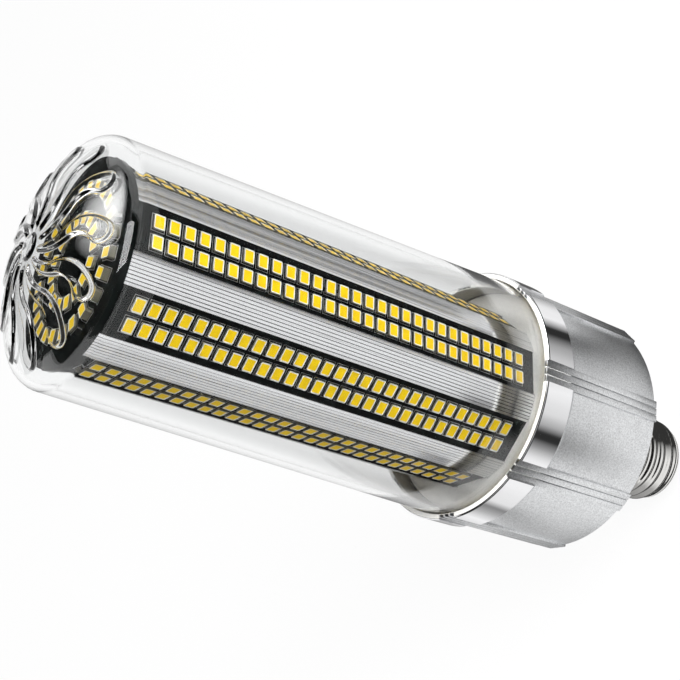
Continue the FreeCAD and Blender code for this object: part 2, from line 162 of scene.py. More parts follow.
class LampColours(bpy.types.PropertyGroup):
    """Colours of the finishes."""
    clear: colour("Clear cover", "Tint of the clear cover", 0.985, 0.99, 0.99)
    rim: colour("Cover rim", "Creamy tint of the cover's rim", 0.86, 0.84, 0.76)
    column: colour("Column", "Bright extruded aluminium", 0.90, 0.90, 0.91)
    housing: colour("Housing", "Sandblasted aluminium", 0.80, 0.81, 0.82)
    ring: colour("Ring", "Polished aluminium", 0.88, 0.88, 0.89)
    floor: colour("Floor", "Pale coating on the floor round the column", 0.94, 0.93, 0.90)
    nickel: colour("Nickel", "Plating of the screw cap", 0.80, 0.79, 0.77)
    board: colour("Board", "Black solder mask", 0.004, 0.006, 0.0055)
    window: colour("LED window", "Yellow phosphor", 1.0, 0.66, 0.004)
    package: colour("LED package", "Pale body round the window", 0.80, 0.79, 0.72)
    side: colour("LED side", "Shaded side walls of a package", 0.16, 0.15, 0.11)
    pad: colour("LED pad", "Tinned outline round a package", 0.85, 0.85, 0.86)
    rear: colour("Rear cover", "Satin white plastic", 0.80, 0.80, 0.79)
    insulator: colour("Insulator", "Black glass of the cap", 0.012, 0.012, 0.014)
    contact: colour("Contact", "Tinned centre contact", 0.72, 0.68, 0.60)
    driver: colour("Driver board", "Green solder mask", 0.02, 0.10, 0.04)
    component: colour("Components", "Dark bodies on the driver board", 0.03, 0.03, 0.032)


def shader(name, base, metallic=0.0, roughness=0.4, **sockets):
    """A principled material with its uniform values set on the shader itself."""
    material = bpy.data.materials.new(name)
    material.use_nodes = True
    principled = material.node_tree.nodes["Principled BSDF"]
    principled.inputs["Base Color"].default_value = (*base, 1.0)
    principled.inputs["Metallic"].default_value = metallic
    principled.inputs["Roughness"].default_value = roughness
    for socket, value in sockets.items():
        principled.inputs[socket.replace("_", " ")].default_value = value
    return material


def noise(material, size, stretch=(1.0, 1.0, 1.0), detail=4.0):
    """A noise pattern in the piece's own space, with grains of about a size in metres."""
    nodes, links = material.node_tree.nodes, material.node_tree.links
    place = nodes.new("ShaderNodeTexCoord")
    mapping = nodes.new("ShaderNodeMapping")
    mapping.inputs["Scale"].default_value = stretch
    texture = nodes.new("ShaderNodeTexNoise")
    texture.inputs["Scale"].default_value = 1.0 / size
    texture.inputs["Detail"].default_value = detail
    links.new(place.outputs["Object"], mapping.inputs["Vector"])
    links.new(mapping.outputs["Vector"], texture.inputs["Vector"])
    return texture.outputs["Fac"]


def vary_colour(material, pattern, dark, light):
    """Let the base colour run between a darker and a lighter one along a pattern."""
    nodes, links = material.node_tree.nodes, material.node_tree.links
    ramp = nodes.new("ShaderNodeValToRGB")
    for stop, place, tone in zip(ramp.color_ramp.elements, (NOISE_LOW, NOISE_HIGH), (dark, light)):
        stop.position = place
        stop.color = (*tone, 1.0)
    links.new(pattern, ramp.inputs["Fac"])
    links.new(ramp.outputs["Color"], nodes["Principled BSDF"].inputs["Base Color"])


def vary_roughness(material, pattern, low, high):
    """Let the roughness run between two values along a pattern."""
    nodes, links = material.node_tree.nodes, material.node_tree.links
    spread = nodes.new("ShaderNodeMapRange")
    spread.inputs["From Min"].default_value = NOISE_LOW
    spread.inputs["From Max"].default_value = NOISE_HIGH
    spread.inputs["To Min"].default_value = low
    spread.inputs["To Max"].default_value = high
    links.new(pattern, spread.inputs["Value"])
    links.new(spread.outputs["Result"], nodes["Principled BSDF"].inputs["Roughness"])


def add_bump(material, pattern, depth, strength):
    """Let a pattern roughen the surface to a depth in metres."""
    nodes, links = material.node_tree.nodes, material.node_tree.links
    bump = nodes.new("ShaderNodeBump")
    bump.inputs["Strength"].default_value = strength
    bump.inputs["Distance"].default_value = depth
    links.new(pattern, bump.inputs["Height"])
    links.new(bump.outputs["Normal"], nodes["Principled BSDF"].inputs["Normal"])


def shade(base, factor):
    """A darker or lighter tone of a colour."""
    return tuple(min(1.0, part * factor) for part in base)


def clear_plastic(tint, rim_tint, rim_top):
    """Clear plastic that looks creamy at the rim, where the seal shines through."""
    material = shader("clear_plastic", tint, roughness=0.0, IOR=1.49, Transmission_Weight=1.0,
                      Specular_IOR_Level=0.2)
    vary_roughness(material, noise(material, size=30 * MM), low=0.0, high=0.02)
    nodes, links = material.node_tree.nodes, material.node_tree.links
    blend = 1.0 * MM
    place = nodes.new("ShaderNodeTexCoord")
    parts = nodes.new("ShaderNodeSeparateXYZ")
    level = nodes.new("ShaderNodeMapRange")
    level.inputs["From Min"].default_value = rim_top - blend
    level.inputs["From Max"].default_value = rim_top + blend
    links.new(place.outputs["Object"], parts.inputs["Vector"])
    links.new(parts.outputs["Z"], level.inputs["Value"])
    vary_colour(material, level.outputs["Result"], rim_tint, tint)
    return material


def extruded_metal(base, groove_bottom, groove_top):
    """Bright aluminium with die lines along its length, with painted shade at the bottom of its grooves
    and a painted highlight on their crests.
    """
    material = shader("extruded_aluminium", base, metallic=1.0)
    nodes, links = material.node_tree.nodes, material.node_tree.links
    lines = noise(material, size=0.5 * MM, stretch=(1.0, 1.0, 0.012))
    # Painted shade and highlight: how much darker the groove bottoms and brighter the crests make the
    # lines
    groove_shade_swing = 0.25
    place = nodes.new("ShaderNodeTexCoord")
    flat = nodes.new("ShaderNodeVectorMath")
    flat.operation = "MULTIPLY"
    flat.inputs[1].default_value = (1.0, 1.0, 0.0)
    radius = nodes.new("ShaderNodeVectorMath")
    radius.operation = "LENGTH"
    # Painted shade: the colour gets darker towards the groove bottoms and lighter towards the crests
    height = nodes.new("ShaderNodeMapRange")
    height.inputs["From Min"].default_value = groove_bottom
    height.inputs["From Max"].default_value = groove_top
    height.inputs["To Min"].default_value = -groove_shade_swing
    height.inputs["To Max"].default_value = groove_shade_swing
    total = nodes.new("ShaderNodeMath")
    links.new(place.outputs["Object"], flat.inputs[0])
    links.new(flat.outputs["Vector"], radius.inputs[0])
    links.new(radius.outputs["Value"], height.inputs["Value"])
    links.new(height.outputs["Result"], total.inputs[0])
    links.new(lines, total.inputs[1])
    vary_colour(material, total.outputs["Value"], shade(base, 0.55), base)
    vary_roughness(material, lines, low=0.08, high=0.18)
    add_bump(material, lines, depth=0.008 * MM, strength=0.4)
    return material


def sandblasted_metal(base):
    """Aluminium with the glittering grain of a blasted surface."""
    material = shader("sandblasted_aluminium", base, metallic=1.0)
    grain = noise(material, size=0.42 * MM, detail=2.0)
    vary_colour(material, grain, shade(base, 0.78), shade(base, 1.2))
    vary_roughness(material, noise(material, size=6 * MM), low=0.28, high=0.35)
    add_bump(material, grain, depth=0.05 * MM, strength=0.55)
    return material


def polished_metal(name, base, low, high):
    """Smooth metal, a little cloudy, with a roughness between two values."""
    material = shader(name, base, metallic=1.0)
    cloud = noise(material, size=5 * MM, stretch=(1.0, 1.0, 0.3))
    vary_colour(material, cloud, shade(base, 0.97), shade(base, 1.02))
    vary_roughness(material, cloud, low, high)
    return material


def solder_mask(name, base):
    """Glossy lacquer over copper, a little uneven."""
    material = shader(name, base, Specular_IOR_Level=0.12)
    cloud = noise(material, size=2.5 * MM)
    vary_colour(material, cloud, shade(base, 0.8), shade(base, 1.35))
    vary_roughness(material, cloud, low=0.10, high=0.16)
    add_bump(material, noise(material, size=0.7 * MM), depth=0.005 * MM, strength=0.05)
    return material


def black_mask(colours):
    """The solder mask that the boards and the LEDs' pads share."""
    return bpy.data.materials.get("black_mask") or solder_mask("black_mask", colours.board)


def moulded_plastic(name, base, low, high):
    """Finely grained plastic with a roughness between two values."""
    material = shader(name, base)
    grain = noise(material, size=0.6 * MM)
    vary_colour(material, grain, shade(base, 0.94), shade(base, 1.05))
    vary_roughness(material, grain, low, high)
    add_bump(material, grain, depth=0.015 * MM, strength=0.3)
    return material


def phosphor(base):
    """Yellow resin with fine grains of phosphor."""
    material = shader("phosphor", base, Specular_IOR_Level=0.15)
    grain = noise(material, size=0.18 * MM, detail=2.0)
    vary_colour(material, grain, shade(base, 0.90), shade(base, 1.05))
    vary_roughness(material, grain, low=0.30, high=0.45)
    return material


def smooth_step(value, low, high):
    """A share that runs softly from 0 to 1 between two values."""
    share = min(1.0, max(0.0, (value - low) / (high - low)))
    return share * share * (3.0 - 2.0 * share)


def lathe(bm, profile, segments):
    """Turn a profile of (radius, height) points once round the lamp's axis."""
    verts = [bm.verts.new((radius, 0.0, height)) for radius, height in profile]
    edges = [bm.edges.new(pair) for pair in zip(verts, verts[1:])]
    if profile[0][0] > 0.0 and profile[-1][0] > 0.0:
        edges.append(bm.edges.new((verts[-1], verts[0])))
    bmesh.ops.spin(bm, geom=verts + edges, cent=(0, 0, 0), axis=(0, 0, 1), dvec=(0, 0, 0),
                   angle=2 * math.pi, steps=segments, use_merge=True)
    bmesh.ops.remove_doubles(bm, verts=bm.verts, dist=WELD)


def arc(centre, radius, first, last, steps):
    """Profile points on an arc between two angles."""
    turns = [first + (last - first) * step / steps for step in range(steps + 1)]
    return [(centre[0] + radius * math.cos(turn), centre[1] + radius * math.sin(turn))
            for turn in turns]


def between(start, end, steps):
    """Profile points on a straight run, without its last one."""
    return [tuple(Vector(start).lerp(Vector(end), step / steps)) for step in range(steps)]


def new_verts(geometry):
    """The vertices among what a bmesh operator made."""
    return [item for item in geometry if isinstance(item, bmesh.types.BMVert)]


def extrude_up(bm, faces, height):
    """Extrude flat faces along the lamp's axis."""
    raised = bmesh.ops.extrude_face_region(bm, geom=faces)["geom"]
    bmesh.ops.translate(bm, vec=(0, 0, height), verts=new_verts(raised))


def add_octagon(bm, half_width, level, filled):
    """An octagon round the axis that turns a side to each strip."""
    place = Matrix.Translation((0, 0, level)) @ Matrix.Rotation(SECTOR / 2, 4, "Z")
    made = bmesh.ops.create_circle(bm, cap_ends=filled, segments=STRIPS, matrix=place,
                                   radius=half_width / math.cos(SECTOR / 2))
    return made["verts"]


def piece(bm, name, nodes, materials, sharp=30.0):
    """Make a mesh of a bmesh. It rides on the lamp and stands for its CAD nodes."""
    bmesh.ops.remove_doubles(bm, verts=bm.verts, dist=WELD)
    bmesh.ops.recalc_face_normals(bm, faces=bm.faces)
    for face in bm.faces:
        face.smooth = True
    for edge in bm.edges:
        edge.smooth = len(edge.link_faces) != 2 or edge.calc_face_angle() < math.radians(sharp)
    mesh = bpy.data.meshes.new(name)
    bm.to_mesh(mesh)
    bm.free()
    for material in materials:
        mesh.materials.append(material)
    made = bpy.data.objects.new(name, mesh)
    bpy.context.scene.collection.objects.link(made)
    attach(made, "root")
    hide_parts(*nodes)
    return made


def finish_nodes(names, material):
    """Give CAD nodes that keep their own shape a better material."""
    for name in names:
        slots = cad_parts[name].data.materials
        slots.clear()
        slots.append(material)


def rib_path(sizes, turn):
    """Points along one swirl rib seen from above: a left-hand arc runs on into a right-hand one."""
    points = [Vector((sizes.rib_start, 0.0, 0.0))]
    heading = sizes.rib_start_heading
    bends = ((sizes.rib_first_reach, sizes.rib_lean),
             (sizes.rib_second_reach, sizes.rib_end_heading))
    for reach, last in bends:
        half = (last - heading) / 2
        step = reach * half / math.sin(half) / RIB_STEPS
        for index in range(RIB_STEPS):
            way = heading + (last - heading) * (index + 0.5) / RIB_STEPS
            points.append(points[-1] + Vector((math.cos(way), math.sin(way), 0.0)) * step)
        heading = last
    return [Matrix.Rotation(turn, 3, "Z") @ point for point in points]


def add_swirl(bm, sizes):
    """Raise the swirl ribs and the centre boss out of the dome's outer side."""
    between_ribs = 2 * math.pi / sizes.swirl_ribs
    paths = [rib_path(sizes, sizes.rib_turn + between_ribs * rib) for rib in range(sizes.swirl_ribs)]
    points = [point for path in paths for point in path]
    tree = KDTree(len(points))
    for index, point in enumerate(points):
        tree.insert(point, index)
    tree.balance()
    ball = Vector((0.0, 0.0, sizes.dome_top - sizes.dome_radius))
    inside = sizes.dome_radius - sizes.cover_wall / 2
    lowest = DOME_SHARE * sizes.dome_radius
    widening = sizes.rib_end_width - sizes.rib_start_width
    count = len(paths[0])
    for vert in bm.verts:
        away = vert.co - ball
        if away.length < inside or away.z < lowest:
            continue
        flat = Vector((vert.co.x, vert.co.y, 0.0))
        _, index, distance = tree.find(flat)
        share = index % count / (count - 1)
        half = (sizes.rib_start_width + widening * share) / 2
        rib = sizes.rib_height * (1.0 - smooth_step(distance, half - sizes.rib_edge, half))
        slope = (flat.length / sizes.boss_radius - BOSS_FLAT) / (1.0 - BOSS_FLAT)
        boss = sizes.boss_height * (1.0 - min(1.0, max(0.0, slope)) ** 2)
        vert.co += away.normalized() * max(rib, boss)


class LAMP_OT_clear_cover(bpy.types.Operator):
    """Mould the clear cover: drafted wall, rounded corner and a dome with swirl ribs"""
    bl_idname = "lamp.clear_cover"
    bl_label = "Clear cover"

    def execute(self, context):
        sizes, colours = context.scene.lamp_sizes, context.scene.lamp_colours
        ball = (0.0, sizes.dome_top - sizes.dome_radius)
        corner_x = sizes.cover_shoulder - sizes.cover_corner
        rise = math.sqrt((sizes.dome_radius - sizes.cover_corner) ** 2 - corner_x ** 2)
        corner = (corner_x, ball[1] + rise)
        tilt = math.atan2(rise, corner_x)
        inner_corner = sizes.cover_corner - sizes.cover_wall
        inner_dome = sizes.dome_radius - sizes.cover_wall
        rim = (sizes.cover_rim, cover_low.z)
        inner_rim = (sizes.cover_rim - sizes.cover_wall, cover_low.z)
        shoulder = (sizes.cover_shoulder, corner[1])
        inner_shoulder = (sizes.cover_shoulder - sizes.cover_wall, corner[1])
        # The ribs need finer steps than the middle with the boss
        middle = sizes.boss_radius + 2.0 * MM
        middle_edge = math.acos(middle / sizes.dome_radius)
        top = math.pi / 2
        profile = between(rim, shoulder, steps=2)
        profile += arc(corner, sizes.cover_corner, 0.0, tilt, steps=8)[:-1]
        profile += arc(ball, sizes.dome_radius, tilt, middle_edge, steps=100)[:-1]
        profile += arc(ball, sizes.dome_radius, middle_edge, top, steps=14)
        profile += arc(ball, inner_dome, top, tilt, steps=8)[:-1]
        profile += arc(corner, inner_corner, tilt, 0.0, steps=5)[:-1]
        profile += [inner_shoulder, inner_rim]
        bm = bmesh.new()
        lathe(bm, [(max(radius, 0.0), height) for radius, height in profile], segments=640)
        add_swirl(bm, sizes)
        piece(bm, "cover_moulding", ["clear_cover"],
              [clear_plastic(colours.clear, colours.rim, housing_high.z)], sharp=50.0)
        return {"FINISHED"}


class LAMP_OT_column(bpy.types.Operator):
    """Extrude the column with its strip slots and fine grooves"""
    bl_idname = "lamp.column"
    bl_label = "Column"

    def execute(self, context):
        sizes, colours = context.scene.lamp_sizes, context.scene.lamp_colours
        seat = board_low.x
        lip = board_high.x + PLAY
        half = sizes.slot_half
        mouth = half - sizes.slot_lip
        edge = math.asin(mouth / sizes.column_radius)
        slot = [(lip, -mouth), (lip, -half), (seat, -half), (seat, half), (lip, half), (lip, mouth)]
        step = (SECTOR - 2 * edge) / sizes.groove_count
        # How far along a step each point of a tooth lies, and how deep
        tooth = ((0.0, 0.0), (0.38, 0.0), (0.76, 0.0), (0.88, sizes.groove_depth))
        turns = [(edge + (index + share) * step, sizes.column_radius - depth)
                 for index in range(sizes.groove_count) for share, depth in tooth]
        turns.append((SECTOR - edge, sizes.column_radius))
        teeth = [(radius * math.cos(turn), radius * math.sin(turn)) for turn, radius in turns]
        bm = bmesh.new()
        outline = []
        for strip in range(STRIPS):
            turn = Matrix.Rotation(strip * SECTOR, 3, "Z")
            outline += [bm.verts.new(turn @ Vector((x, y, column_low.z))) for x, y in slot + teeth]
        for index, vert in enumerate(outline):
            bm.edges.new((outline[index - 1], vert))
        add_octagon(bm, seat - sizes.column_wall, column_low.z, filled=False)
        bmesh.ops.triangle_fill(bm, use_beauty=True, edges=bm.edges[:])
        extrude_up(bm, bm.faces[:], column_high.z - column_low.z)
        # The column's colour carries painted shade in its grooves and a painted highlight on their
        # crests
        metal = extruded_metal(colours.column, sizes.column_radius - sizes.groove_depth,
                               sizes.column_radius - sizes.groove_depth / 2)
        piece(bm, "column_extrusion", ["column"], [metal], sharp=12.0)
        return {"FINISHED"}


def add_led_block(bm, width, size, height, material):
    """A block that stands on the YZ plane, with one material."""
    verts = bmesh.ops.create_cube(bm, size=1.0)["verts"]
    bmesh.ops.scale(bm, vec=(height, width, size), verts=verts)
    bmesh.ops.translate(bm, vec=(height / 2, 0, 0), verts=verts)
    for vert in verts:
        for face in vert.link_faces:
            face.material_index = material
    return verts


def led_unit(sizes):
    """One LED package on the YZ plane: pads with a bright outline, body and sunk yellow window."""
    outline = 0.15 * MM
    pad_height, mask_height = 0.04 * MM, 0.05 * MM
    corner = 0.25 * MM
    window_depth = 0.05 * MM
    bm = bmesh.new()
    for margin, height, material in ((sizes.pad_margin, pad_height, PAD),
                                     (sizes.pad_margin - outline, mask_height, MASK)):
        add_led_block(bm, sizes.led_width + 2 * margin, sizes.led_length + 2 * margin, height, material)
    height = leds_high.x - leds_low.x
    verts = add_led_block(bm, sizes.led_width, sizes.led_length, height, SIDE)
    upright = {edge for vert in verts for edge in vert.link_edges
               if abs(edge.verts[0].co.x - edge.verts[1].co.x) > height / 2}
    bmesh.ops.bevel(bm, geom=list(upright), offset=corner, segments=1, profile=0.5, affect="EDGES",
                    material=-1)
    top = max(bm.faces, key=lambda face: face.calc_center_median().x)
    border = bmesh.ops.inset_region(bm, faces=[top], thickness=sizes.led_border, depth=0.0)["faces"]
    for face in border:
        face.material_index = PACKAGE
    top.material_index = WINDOW
    bmesh.ops.translate(bm, vec=(-window_depth, 0, 0), verts=list(top.verts))
    mesh = bpy.data.meshes.new("led_unit")
    bm.to_mesh(mesh)
    bm.free()
    return mesh


def led_group(name, node, unit, places, materials):
    """Copies of one LED package at a list of places, as one piece."""
    bm = bmesh.new()
    for place in places:
        first = len(bm.verts)
        bm.from_mesh(unit)
        bm.verts.ensure_lookup_table()
        bmesh.ops.transform(bm, matrix=place, verts=bm.verts[first:])
    piece(bm, name, [node], materials)


class LAMP_OT_leds(bpy.types.Operator):
    """Set every LED package on the strips and on the end board"""
    bl_idname = "lamp.leds"
    bl_label = "LED packages"

    def execute(self, context):
        sizes, colours = context.scene.lamp_sizes, context.scene.lamp_colours
        unit = led_unit(sizes)
        # In the order of PACKAGE, WINDOW, PAD, MASK and SIDE
        materials = [moulded_plastic("led_package", colours.package, low=0.25, high=0.4),
                     phosphor(colours.window),
                     polished_metal("tinned_pad", colours.pad, low=0.25, high=0.4),
                     black_mask(colours),
                     moulded_plastic("led_side", colours.side, low=0.3, high=0.4)]
        first = leds_low.z + sizes.led_length / 2
        count = round((leds_high.z - leds_low.z - sizes.led_length) / sizes.led_pitch) + 1
        for strip in range(STRIPS):
            turn = Matrix.Rotation(strip * SECTOR, 4, "Z")
            places = []
            for index in range(count):
                for side in (-0.5, 0.5):
                    spot = (leds_low.x, side * sizes.led_spacing, first + index * sizes.led_pitch)
                    places.append(turn @ Matrix.Translation(spot))
            led_group(f"led_rows_{strip + 1}", f"strip_leds_{strip + 1}", unit, places, materials)
        facing_up = Matrix(((0, 1, 0, 0), (0, 0, 1, 0), (1, 0, 0, 0), (0, 0, 0, 1)))
        places = []
        for radius, leds in ((sizes.outer_ring, sizes.outer_ring_leds),
                             (sizes.inner_ring, sizes.inner_ring_leds)):
            for index in range(leds):
                turn = Matrix.Rotation(2 * math.pi * index / leds, 4, "Z")
                places.append(turn @ Matrix.Translation((radius, 0, end_low.z)) @ facing_up)
        led_group("led_rings", "end_leds", unit, places, materials)
        bpy.data.meshes.remove(unit)
        return {"FINISHED"}


class LAMP_OT_boards(bpy.types.Operator):
    """Finish the strip boards and the end board in black solder mask"""
    bl_idname = "lamp.boards"
    bl_label = "LED boards"

    def execute(self, context):
        colours = context.scene.lamp_colours
        boards = [f"strip_board_{strip + 1}" for strip in range(STRIPS)] + ["end_board"]
        finish_nodes(boards, black_mask(colours))
        return {"FINISHED"}


def spin_on(bm, geometry, turn, steps):
    """Carry a profile a little further round the axis and return its new place."""
    spun = bmesh.ops.spin(bm, geom=geometry, cent=(0, 0, 0), axis=(0, 0, 1), dvec=(0, 0, 0),
                          angle=turn, steps=steps, use_merge=False)
    return spun["geom_last"]


def cup_profile(sizes):
    """The housing's side, its polished ring and its floor as (radius, height) points."""
    bottom, top = housing_low.z, housing_high.z
    side, ring = sizes.housing_radius, sizes.ring_radius
    seat = sizes.cover_rim + PLAY
    soft = 0.35 * MM
    return [(side - soft, bottom), (side, bottom + soft), (side, sizes.ring_level - sizes.flare),
            (ring, sizes.ring_level), (ring, top - 2 * soft), (ring, top - soft),
            (ring - 0.3 * soft, top - 0.3 * soft), (ring - soft, top),
            (seat + 0.5 * soft, top), (seat, top - 0.5 * soft),
            (seat, sizes.floor_level), (0.0, sizes.floor_level)]


def add_cup(bm, sizes, notch):
    """Turn the housing's outer side and notch it to a radius under each band."""
    half_band = (3 * (sizes.band_rib + sizes.band_groove) - sizes.band_groove) / 2
    half_turn = math.asin(half_band / sizes.ring_radius)
    wall_turn = math.radians(0.03)
    field_turn = SECTOR - 2 * half_turn - 2 * wall_turn
    verts = [bm.verts.new((radius, 0.0, height)) for radius, height in cup_profile(sizes)]
    geometry = verts + [bm.edges.new(pair) for pair in zip(verts, verts[1:])]
    start = Matrix.Rotation(sizes.band_turn - half_turn, 3, "Z")
    bmesh.ops.rotate(bm, cent=(0, 0, 0), matrix=start, verts=verts)
    for _ in range(STRIPS):
        geometry = spin_on(bm, geometry, 2 * half_turn, steps=6)
        geometry = spin_on(bm, geometry, wall_turn, steps=1)
        geometry = spin_on(bm, geometry, field_turn, steps=28)
        geometry = spin_on(bm, geometry, wall_turn, steps=1)
    bmesh.ops.remove_doubles(bm, verts=bm.verts, dist=WELD)
    for vert in bm.verts:
        radius = math.hypot(vert.co.x, vert.co.y)
        turn = math.atan2(vert.co.y, vert.co.x) - sizes.band_turn
        off_band = (turn + SECTOR / 2) % SECTOR - SECTOR / 2
        if radius > notch and abs(off_band) < half_turn + wall_turn / 2:
            vert.co.x *= notch / radius
            vert.co.y *= notch / radius


def add_cavity(bm, sizes):
    """Close the housing's rear round an octagonal opening and sink a cavity into it."""
    floor_thickness = 3.0 * MM
    rear_edge = [edge for edge in bm.edges if edge.is_boundary]
    opening = add_octagon(bm, rear_high.x + PLAY, housing_low.z, filled=False)
    opening_edges = list({edge for vert in opening for edge in vert.link_edges})
    bmesh.ops.triangle_fill(bm, use_beauty=True, edges=rear_edge + opening_edges)
    roof = new_verts(bmesh.ops.extrude_edge_only(bm, edges=opening_edges)["geom"])
    depth = sizes.floor_level - floor_thickness - housing_low.z
    bmesh.ops.translate(bm, vec=(0, 0, depth), verts=roof)
    bmesh.ops.contextual_create(bm, geom=roof)


def sort_cup_faces(bm, sizes, notch):
    """Give each of the housing's faces its finish by its place."""
    near = 0.1 * MM
    for face in bm.faces:
        middle = face.calc_center_median()
        radius = math.hypot(middle.x, middle.y)
        if radius > notch + near and middle.z > sizes.ring_level - near:
            face.material_index = POLISHED
        elif middle.z > sizes.floor_level - near:
            face.material_index = FLOOR
        else:
            face.material_index = BLASTED


def add_band_rib(bm, sizes, middle, turn):
    """One rib of a band: a long bar along the housing's side."""
    depth = 1.0 * MM
    soft = 0.12 * MM
    height = housing_high.z - housing_low.z
    centre = (sizes.band_radius - depth / 2, middle, housing_low.z + height / 2)
    verts = bmesh.ops.create_cube(bm, size=1.0)["verts"]
    bmesh.ops.scale(bm, vec=(depth, sizes.band_rib, height), verts=verts)
    bmesh.ops.translate(bm, vec=centre, verts=verts)
    edges = list({edge for vert in verts for edge in vert.link_edges})
    rounded = bmesh.ops.bevel(bm, geom=edges, offset=soft, segments=2, profile=0.5, affect="EDGES",
                              material=-1)
    bar = {vert for face in rounded["faces"] for vert in face.verts}
    bmesh.ops.rotate(bm, cent=(0, 0, 0), matrix=Matrix.Rotation(turn, 3, "Z"), verts=list(bar))


class LAMP_OT_housing(bpy.types.Operator):
    """Turn the housing with its polished ring, notch it for the bands and add their ribs"""
    bl_idname = "lamp.housing"
    bl_label = "Housing"

    def execute(self, context):
        sizes, colours = context.scene.lamp_sizes, context.scene.lamp_colours
        notch = sizes.band_radius - sizes.band_depth
        bm = bmesh.new()
        add_cup(bm, sizes, notch)
        add_cavity(bm, sizes)
        sort_cup_faces(bm, sizes, notch)
        for strip in range(STRIPS):
            for place in (-1, 0, 1):
                add_band_rib(bm, sizes, place * (sizes.band_rib + sizes.band_groove),
                             sizes.band_turn + strip * SECTOR)
        # In the order of BLASTED, POLISHED and FLOOR
        materials = [sandblasted_metal(colours.housing),
                     polished_metal("polished_ring", colours.ring, low=0.03, high=0.06),
                     moulded_plastic("pale_floor", colours.floor, low=0.3, high=0.4)]
        piece(bm, "housing_cup", ["housing"], materials, sharp=25.0)
        return {"FINISHED"}


class LAMP_OT_rear_cover(bpy.types.Operator):
    """Mould the rear cover with its neck"""
    bl_idname = "lamp.rear_cover"
    bl_label = "Rear cover"

    def execute(self, context):
        sizes, colours = context.scene.lamp_sizes, context.scene.lamp_colours
        neck = sizes.neck_radius
        plate_low = housing_low.z
        plate_thickness = 3.0 * MM
        soft, fillet, overlap = 0.8 * MM, 1.5 * MM, 1.0 * MM
        profile = [(0.0, rear_low.z)]
        profile += arc((neck - soft, rear_low.z + soft), soft, -math.pi / 2, 0.0, steps=6)
        profile += arc((neck + fillet, plate_low - fillet), fillet, math.pi, math.pi / 2, steps=8)
        profile += [(neck + fillet, plate_low + overlap), (0.0, plate_low + overlap)]
        bm = bmesh.new()
        lathe(bm, profile, segments=128)
        plate = add_octagon(bm, rear_high.x, plate_low, filled=True)
        face = next(iter(set.intersection(*(set(vert.link_faces) for vert in plate))))
        extrude_up(bm, [face], plate_thickness)
        piece(bm, "rear_moulding", ["rear_cover"],
              [moulded_plastic("rear_plastic", colours.rear, low=0.35, high=0.5)])
        return {"FINISHED"}


def roll_thread(bm, sizes, root, toe, top):
    """Push the shell's plain stretch out into a thread that ends in a round collar."""
    thread_full = toe + 2.6 * MM
    collar_low, collar_full = top - 5.2 * MM, top - 3.4 * MM
    for vert in bm.verts:
        radius = math.hypot(vert.co.x, vert.co.y)
        if abs(radius - root) > WELD:
            continue
        turn = math.atan2(vert.co.y, vert.co.x)
        wave = 0.5 + 0.5 * math.cos(2 * math.pi * vert.co.z / sizes.thread_pitch - turn)
        rolled = smooth_step(vert.co.z, toe, thread_full)
        collar = smooth_step(vert.co.z, collar_low, collar_full)
        lift = sizes.thread_depth * (wave * rolled * (1.0 - collar) + collar)
        vert.co.x *= (root + lift) / radius
        vert.co.y *= (root + lift) / radius


class LAMP_OT_screw_shell(bpy.types.Operator):
    """Roll the cap's threaded shell"""
    bl_idname = "lamp.screw_shell"
    bl_label = "Screw shell"

    def execute(self, context):
        sizes, colours = context.scene.lamp_sizes, context.scene.lamp_colours
        crest = shell_high.x
        low, top = shell_low.z, shell_high.z
        root = crest - sizes.thread_depth
        wall = 0.6 * MM
        eye = crest - 2.6 * MM
        toe, lip = low + 0.8 * MM, top - 0.4 * MM
        base = [(eye, low), (crest - 1.5 * MM, low), (crest - 1.1 * MM, low + 0.3 * MM)]
        stretch = between((root, toe), (root, lip), steps=110)
        rim = [(crest, lip), (crest - 0.2 * MM, top), (crest - 0.9 * MM, top)]
        inside = [(root - wall, top - 1.0 * MM), (root - wall, low + wall), (eye, low + wall)]
        bm = bmesh.new()
        lathe(bm, base + stretch + rim + inside, segments=144)
        roll_thread(bm, sizes, root, toe, top)
        piece(bm, "threaded_shell", ["screw_shell"],
              [polished_metal("nickel_plate", colours.nickel, low=0.06, high=0.12)], sharp=60.0)
        return {"FINISHED"}


class LAMP_OT_insulator(bpy.types.Operator):
    """Turn the cap's insulating nose"""
    bl_idname = "lamp.insulator"
    bl_label = "Insulator"

    def execute(self, context):
        colours = context.scene.lamp_colours
        low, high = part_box("cap_insulator")
        face, edge, bend, radius = 5.6 * MM, 6.6 * MM, 9.9 * MM, 10.4 * MM
        edge_height, bend_height, overlap = 0.3 * MM, 0.8 * MM, 0.2 * MM
        profile = [(0.0, low.z), (face, low.z), (edge, low.z + edge_height),
                   (bend, high.z - bend_height), (radius, high.z), (radius, high.z + overlap),
                   (0.0, high.z + overlap)]
        bm = bmesh.new()
        lathe(bm, profile, segments=96)
        piece(bm, "insulator_nose", ["cap_insulator"],
              [moulded_plastic("black_insulator", colours.insulator, low=0.08, high=0.16)])
        return {"FINISHED"}


class LAMP_OT_contact(bpy.types.Operator):
    """Turn the cap's centre contact"""
    bl_idname = "lamp.contact"
    bl_label = "Centre contact"

    def execute(self, context):
        colours = context.scene.lamp_colours
        low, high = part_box("centre_contact")
        soft, overlap = 1.2 * MM, 0.1 * MM
        profile = [(0.0, low.z)]
        profile += arc((high.x - soft, low.z + soft), soft, -math.pi / 2, 0.0, steps=8)
        profile += [(high.x, high.z + overlap), (0.0, high.z + overlap)]
        bm = bmesh.new()
        lathe(bm, profile, segments=72)
        piece(bm, "contact_button", ["centre_contact"],
              [polished_metal("tinned_contact", colours.contact, low=0.22, high=0.38)])
        return {"FINISHED"}


